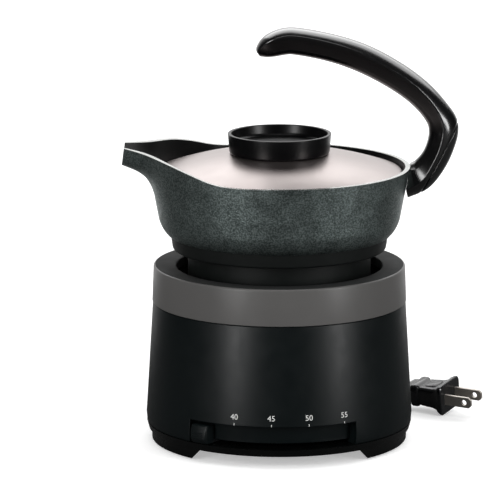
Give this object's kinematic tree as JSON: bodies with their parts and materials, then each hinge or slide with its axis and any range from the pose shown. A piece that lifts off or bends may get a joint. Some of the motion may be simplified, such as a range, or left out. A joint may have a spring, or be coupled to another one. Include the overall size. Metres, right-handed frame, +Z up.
{
  "type": "electric sake warmer",
  "caption": "Round heated base with a selector lever and a well, holding a cast pouring pot with a drawn spout, an open curved handle and a domed lid; cord and plug.",
  "frame": {"origin": "on the upright axis of the round base, in the plane of the feet's rubber pads", "axes": "+Z up along the base's axis, front with the selector towards -Y, spout towards -X, handle towards +X, cord leaves at +Y"},
  "size_m": [0.209, 0.2737, 0.237],
  "materials": {
    "base_plate": "fine matt black moulded plastic",
    "foot_pads": "soft black rubber",
    "base_screws": "zinc-plated steel",
    "housing": "satin black moulded plastic",
    "trim_ring": "satin warm gray plastic",
    "well_liner": "black enamelled sheet steel",
    "liner_screws": "zinc-plated steel",
    "plate_seal": "silicone rubber",
    "hot_plate": "cast aluminium, black heat-proof coat on top",
    "heater_screws": "steel",
    "heat_shield": "bright sheet steel",
    "heating_element": "steel sheath, dulled by heat",
    "thermostat": "white ceramic",
    "thermostat_tabs": "brass",
    "thermostat_bracket": "sheet steel",
    "thermostat_screws": "steel",
    "thermal_fuse": "tinned metal can",
    "fuse_clip": "bare sheet",
    "selector_shaft": "steel rod",
    "selector_lever": "matt black plastic",
    "selector_knob": "satin black plastic",
    "cord_gland": "soft black rubber",
    "cord_inner_end": "black flexible sheath",
    "cord_clamp": "black plastic",
    "cord_clamp_screws": "steel",
    "terminal_block": "off-white plastic",
    "terminal_screws": "brass",
    "pot_shell": "cast aluminium with a grainy black coat",
    "handle_grip": "polished black phenolic plastic",
    "handle_cap": "polished black phenolic plastic",
    "handle_screws": "stainless steel",
    "lid_dome": "satin champagne anodised aluminium",
    "lid_ring": "satin aluminium",
    "lid_knob": "polished black phenolic plastic",
    "knob_washer": "stainless steel",
    "knob_screw": "stainless steel",
    "cord": "black flexible sheath",
    "cord_coil": "black flexible sheath",
    "plug_body": "moulded black soft plastic",
    "plug_blades": "nickel-plated brass"
  },
  "bodies": {
    "base": {"base_plate": "base_plate", "foot_pads": "foot_pads", "base_screws": "base_screws", "housing": "housing", "trim_ring": "trim_ring", "well_liner": "well_liner", "liner_screws": "liner_screws", "plate_seal": "plate_seal", "hot_plate": "hot_plate", "heater_screws": "heater_screws", "heat_shield": "heat_shield", "heating_element": "heating_element", "thermostat": "thermostat", "thermostat_tabs": "thermostat_tabs", "thermostat_bracket": "thermostat_bracket", "thermostat_screws": "thermostat_screws", "thermal_fuse": "thermal_fuse", "fuse_clip": "fuse_clip", "cord_gland": "cord_gland", "cord_inner_end": "cord_inner_end", "cord_clamp": "cord_clamp", "cord_clamp_screws": "cord_clamp_screws", "terminal_block": "terminal_block", "terminal_screws": "terminal_screws", "cord": "cord", "cord_coil": "cord_coil", "plug_body": "plug_body", "plug_blades": "plug_blades"},
    "pot": {"pot_shell": "pot_shell", "handle_grip": "handle_grip", "handle_cap": "handle_cap", "handle_screws": "handle_screws"},
    "lid": {"lid_dome": "lid_dome", "lid_ring": "lid_ring", "lid_knob": "lid_knob", "knob_washer": "knob_washer", "knob_screw": "knob_screw"},
    "selector": {"selector_shaft": "selector_shaft", "selector_lever": "selector_lever", "selector_knob": "selector_knob"}
  },
  "joints": [
    {"name": "pot_lift", "type": "slide", "parent": "base", "child": "pot", "axis": [0, 0, 1], "range_m": [0, 0.12]},
    {"name": "lid_lift", "type": "slide", "parent": "pot", "child": "lid", "axis": [0, 0, 1], "range_m": [0, 0.035]},
    {"name": "selector_turn", "type": "hinge", "parent": "base", "child": "selector", "pos_m": [0, 0, 0.0122], "axis": [0, 0, 1], "range_deg": [0, 64.4]}
  ]
}
